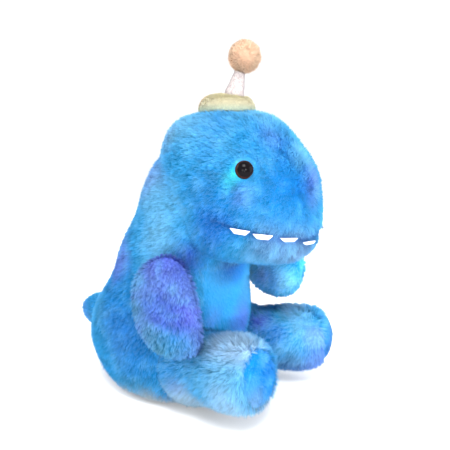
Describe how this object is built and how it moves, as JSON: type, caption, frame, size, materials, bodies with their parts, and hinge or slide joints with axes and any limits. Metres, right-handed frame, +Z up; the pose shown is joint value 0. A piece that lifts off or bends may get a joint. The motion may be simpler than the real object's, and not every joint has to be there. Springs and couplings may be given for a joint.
{
  "type": "stuffed dinosaur",
  "caption": "Seated plush dinosaur with a round head, stub arms, oval-soled legs, a short tail, felt teeth and a small party hat with a pompom; a light module closes behind a back flap.",
  "frame": {"origin": "centre of the flat base panel that the toy sits on", "axes": "+Z up through the hat; the toy faces -Y and its own right side is -X"},
  "size_m": [0.1922, 0.2903, 0.3339],
  "materials": {
    "plush_blue": "long-pile tie-dyed blue fur",
    "plush_arm": "long-pile fur dyed violet and teal",
    "plush_leg": "long-pile fur, whitish tips",
    "plush_sole": "short-pile blue plush",
    "plush_base": "short-pile blue plush",
    "stuffing": "loose polyester fibre",
    "felt_white": "white felt",
    "eye_gloss": "polished black",
    "washer_plastic": "natural nylon",
    "hat_plush": "short-pile pale yellow plush",
    "hat_glitter": "silver-white glitter cloth",
    "hat_foam": "soft foam",
    "yarn": "peach yarn",
    "tape": "hook and loop tape",
    "case_plastic": "moulded white plastic",
    "cell_metal": "steel can",
    "contact_metal": "nickel-plated spring steel",
    "board_green": "printed circuit laminate",
    "led_clear": "water-clear resin",
    "wire_red": "insulated wire"
  },
  "bodies": {
    "torso": {"base_panel": "plush_base", "belly_panel": "plush_blue", "back_panel_right": "plush_blue", "back_panel_left": "plush_blue", "torso_stuffing": "stuffing", "loop_strip": "tape", "module_case": "case_plastic", "battery_door": "case_plastic", "battery_door_screw": "contact_metal", "battery_cell_1": "cell_metal", "battery_cell_2": "cell_metal", "battery_cell_3": "cell_metal", "battery_contacts": "contact_metal", "circuit_board": "board_green", "chest_led_right": "led_clear", "chest_led_left": "led_clear", "torso_led_wires": "wire_red"},
    "switch": {"slide_switch_knob": "case_plastic"},
    "back_flap": {"flap_panel": "plush_blue", "hook_strip": "tape"},
    "head": {"head_panel_right": "plush_blue", "head_panel_left": "plush_blue", "head_gusset": "plush_blue", "jaw_panel": "plush_blue", "neck_panel_right": "plush_blue", "neck_panel_left": "plush_blue", "head_stuffing": "stuffing", "eye_right": "eye_gloss", "eye_left": "eye_gloss", "eye_washer_right": "washer_plastic", "eye_washer_left": "washer_plastic", "felt_teeth": "felt_white", "cheek_led_right": "led_clear", "cheek_led_left": "led_clear", "head_led_wires": "wire_red", "hat_brim_cover": "hat_plush", "hat_brim_stuffing": "stuffing"},
    "hat_cone": {"hat_cone_cover": "hat_glitter", "hat_cone_foam": "hat_foam"},
    "pompom": {"pompom_core": "hat_foam", "pompom_yarn": "yarn"},
    "arm_right": {"arm_outer_panel_right": "plush_arm", "arm_inner_panel_right": "plush_arm", "arm_stuffing_right": "stuffing"},
    "arm_left": {"arm_outer_panel_left": "plush_arm", "arm_inner_panel_left": "plush_arm", "arm_stuffing_left": "stuffing"},
    "leg_right": {"leg_panel_right": "plush_leg", "sole_panel_right": "plush_sole", "leg_stuffing_right": "stuffing"},
    "leg_left": {"leg_panel_left": "plush_leg", "sole_panel_left": "plush_sole", "leg_stuffing_left": "stuffing"},
    "tail": {"tail_panel_right": "plush_blue", "tail_panel_left": "plush_blue", "tail_stuffing": "stuffing"}
  },
  "joints": [
    {"name": "head_turn", "type": "hinge", "parent": "torso", "child": "head", "pos_m": [0, -0.003, 0.132], "axis": [0, 0, 1], "range_deg": [-12, 10], "stiffness_Nm_per_rad": 0.4},
    {"name": "shoulder_right", "type": "hinge", "parent": "torso", "child": "arm_right", "pos_m": [-0.05952, -0.03439, 0.14862], "axis": [-0.3526, 0.9333, -0.0687], "range_deg": [0, 45], "stiffness_Nm_per_rad": 0.12},
    {"name": "shoulder_left", "type": "hinge", "parent": "torso", "child": "arm_left", "pos_m": [0.07069, -0.02128, 0.11457], "axis": [-0.175, 0.0266, 0.9842], "range_deg": [0, 45], "stiffness_Nm_per_rad": 0.12},
    {"name": "hip_right", "type": "hinge", "parent": "torso", "child": "leg_right", "pos_m": [-0.042, -0.046, 0.042], "axis": [-0.9903, 0.1392, 0], "range_deg": [-3, 6], "stiffness_Nm_per_rad": 1.2},
    {"name": "hip_left", "type": "hinge", "parent": "torso", "child": "leg_left", "pos_m": [0.042, -0.046, 0.042], "axis": [-0.9205, -0.3907, 0], "range_deg": [-3, 6], "stiffness_Nm_per_rad": 1.2},
    {"name": "tail_wag", "type": "hinge", "parent": "torso", "child": "tail", "pos_m": [0, 0.084, 0.05], "axis": [0, 0, 1], "range_deg": [-12, 12], "stiffness_Nm_per_rad": 0.15},
    {"name": "cone_tilt", "type": "hinge", "parent": "head", "child": "hat_cone", "pos_m": [0, -0.06, 0.288], "axis": [1, 0, 0], "range_deg": [-8, 8], "stiffness_Nm_per_rad": 0.03},
    {"name": "pompom_nod", "type": "hinge", "parent": "hat_cone", "child": "pompom", "pos_m": [0, -0.066, 0.308], "axis": [1, 0, 0], "range_deg": [-10, 10], "stiffness_Nm_per_rad": 0.02},
    {"name": "back_flap_open", "type": "hinge", "parent": "torso", "child": "back_flap", "pos_m": [0, 0.0743, 0.117], "axis": [1, 0, 0], "range_deg": [0, 100]},
    {"name": "power_switch", "type": "slide", "parent": "torso", "child": "switch", "axis": [1, 0, 0], "range_m": [0, 0.003]}
  ]
}
